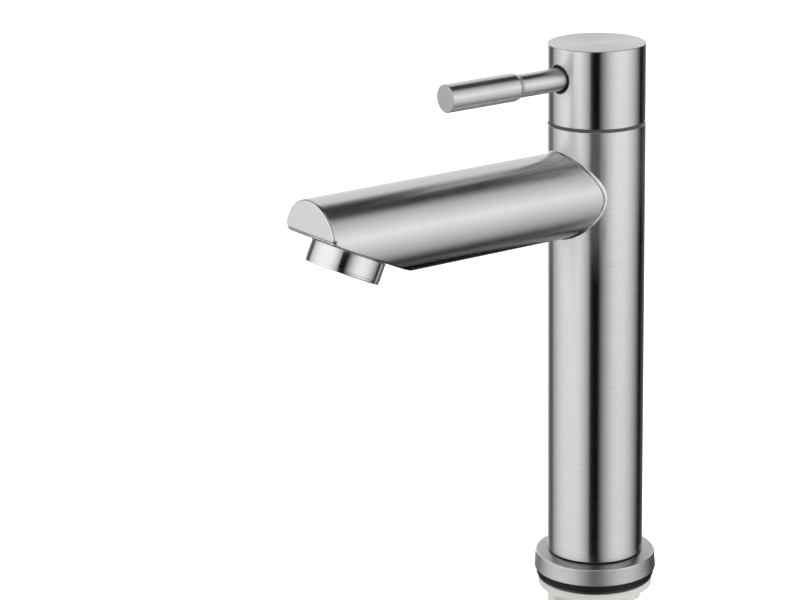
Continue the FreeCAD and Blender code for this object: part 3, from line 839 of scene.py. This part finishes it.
# studio surroundings: two wide soft lights at the sides, a dark gap where the camera stands, a pale backdrop, a top light
HEAD = 55.279
L_LEFT, L_RIGHT, L_BACK, L_TOP = 1.44, 1.26, 0.87, 0.45
world = bpy.data.worlds.new("studio")
sc.world = world
world.use_nodes = True
t = Tree(world.node_tree)
dirv = t.add("ShaderNodeTexCoord").outputs["Generated"]
sep = t.add("ShaderNodeSeparateXYZ")
t.put(sep.inputs[0], dirv)
X, Y, Z = sep.outputs
az = t.math("MULTIPLY", t.math("ARCTAN2", X, t.math("MULTIPLY", Y, -1.0)), 180 / pi)
az = t.math("WRAP", t.math("SUBTRACT", az, HEAD), 180.0, -180.0)
el = t.math("MULTIPLY", t.math("ARCSINE", t.math("MAXIMUM", t.math("MINIMUM", Z, 1.0), -1.0)), 180 / pi)
mul = lambda *a: a[0] if len(a) == 1 else t.math("MULTIPLY", a[0], mul(*a[1:]))
arch = lambda x, a, b: t.math("SINE", t.ss(x, a, b, 0.0, pi / 2, "LINEAR"))          # quick rise, slow end
fall = lambda x, a, b, k: t.math("MULTIPLY_ADD", t.math("POWER", t.ss(x, a, b, 0.0, 1.0, "LINEAR"), 2.0), -k, 1.0)
lean = t.math("SUBTRACT", az, t.math("MULTIPLY", t.math("MAXIMUM", el, 0.0), 0.18))     # the gap leans over towards its top
lean_l = t.math("SUBTRACT", az, t.math("MULTIPLY", t.math("MAXIMUM", el, 0.0), 0.26))   # and gets narrower
left = mul(t.ss(lean_l, -16.3, -21.3), t.math("MULTIPLY_ADD", arch(lean_l, -16, -54), 0.78, 0.22), fall(az, -66, -125, 0.62),
           t.ss(az, -129, -122), L_LEFT)
right = mul(t.ss(lean, -0.5, 5.5), arch(lean, 1.5, 54), fall(az, 60, 120, 1.0), L_RIGHT)
# what little comes round from behind, seen along the column's two edges
behind = mul(t.math("ADD", mul(t.ss(az, -120, -124), t.ss(az, -126, -158, 0.08, 0.19, "LINEAR")), t.ss(az, 130, 166, 0.0, 0.19, "LINEAR")),
             t.ss(el, 25, 5), t.ss(el, -42, -28))
up = mul(t.ss(el, 8, 49, 1.0, 0.5, "LINEAR"), t.ss(el, 46, 38))
down = mul(t.ss(el, 8, -50, 1.0, 0.38, "LINEAR"), t.ss(el, -48, -40))
# the right light's upper and lower edges run along Y, so they go by the angle round the Y axis
tilt = t.math("MULTIPLY", t.math("ARCTAN2", Z, X), 180 / pi)
right_edges = mul(t.ss(tilt, 10, 55, 1.0, 0.62, "LINEAR"), t.ss(tilt, 53, 78, 1.0, 0.0),
                  t.ss(tilt, 8, -50, 1.0, 0.50, "LINEAR"), t.ss(tilt, -47, -78, 1.0, 0.0))
sides = t.math("ADD", t.math("ADD", mul(left, up, down), t.math("MULTIPLY", right, right_edges)), behind)
# the backdrop's upper edge runs along Y, so it is given by the angle round the Y axis
chi = t.math("MULTIPLY", t.math("ARCTAN2", t.math("ABSOLUTE", Z), t.math("MULTIPLY", X, 1.0)), 180 / pi)
wide = t.math("MAXIMUM", t.ss(el, 3, 18), t.math("ADD", t.ss(az, 158, 165), t.ss(az, -150, -156)))
back = mul(t.ss(chi, 115.0, 118.0), wide, t.ss(el, -26, -16), t.ss(Y, -0.12, 0.0), L_BACK)
# soft light overhead on the camera's side
dd = t.add("ShaderNodeVectorMath", operation="DOT_PRODUCT")
t.put(dd.inputs[0], dirv)
dd.inputs[1].default_value = (0.29 * sin(rad(HEAD)), -0.29 * cos(rad(HEAD)), 0.957)
top = mul(t.ss(dd.outputs["Value"], cos(rad(21)), cos(rad(13))), L_TOP)
env = t.math("ADD", t.math("ADD", sides, back), t.math("ADD", top, 0.001))
bg_env = t.add("ShaderNodeBackground")
t.put(bg_env.inputs[1], env)
bg_env.inputs[0].default_value = (1, 1, 1, 1)
bg_cam = t.add("ShaderNodeBackground")
bg_cam.inputs[0].default_value = (1, 1, 1, 1)
bg_cam.inputs[1].default_value = 1.0
lp = t.add("ShaderNodeLightPath")
mx = t.add("ShaderNodeMixShader")
t.put(mx.inputs[0], lp.outputs["Is Camera Ray"])
t.put(mx.inputs[1], bg_env.outputs[0])
t.put(mx.inputs[2], bg_cam.outputs[0])
wo = t.add("ShaderNodeOutputWorld")
t.put(wo.inputs[0], mx.outputs[0])


def area(name, loc, target, size, power):
    d = bpy.data.lights.new(name, "AREA")
    d.shape, d.size, d.size_y, d.energy = "RECTANGLE", size[0], size[1], power
    o = bpy.data.objects.new(name, d)
    o.location = loc
    o.rotation_mode = "QUATERNION"
    o.rotation_quaternion = (Vector(target) - Vector(loc)).to_track_quat("-Z", "Y")
    o.visible_glossy = False
    sc.collection.objects.link(o)
    return o


area("soft_top", (0.1, 0.1, 1.7), (0, 0, 0), (2.4, 2.4), 42.0)
area("soft_left", (-1.3, -1.4, 0.9), (0, 0, 0.05), (1.4, 1.4), 10.0)
area("soft_right", (1.5, 0.9, 0.9), (0, 0, 0.05), (1.4, 1.4), 10.0)

# camera, fitted to points measured on the photograph
a_, e_, r_ = rad(55.279), rad(16.701), rad(-0.984)
B = Vector((sin(a_) * cos(e_), -cos(a_) * cos(e_), sin(e_)))
R0 = Vector((cos(a_), sin(a_), 0))
U0 = B.cross(R0)
Rr = R0 * cos(r_) + U0 * sin(r_)
Ur = -R0 * sin(r_) + U0 * cos(r_)
cd = bpy.data.cameras.new("camera")
cd.sensor_width = 36.0
cd.lens = 2790.0 / 800 * 36
cd.clip_start, cd.clip_end = 0.05, 100
cam = bpy.data.objects.new("camera", cd)
cam.matrix_world = Matrix(((Rr.x, Ur.x, B.x, 0.75414), (Rr.y, Ur.y, B.y, -0.60873), (Rr.z, Ur.z, B.z, 0.39384), (0, 0, 0, 1)))
sc.collection.objects.link(cam)
sc.camera = cam
sc.view_settings.view_transform = "Standard"
sc.view_settings.look = "None"
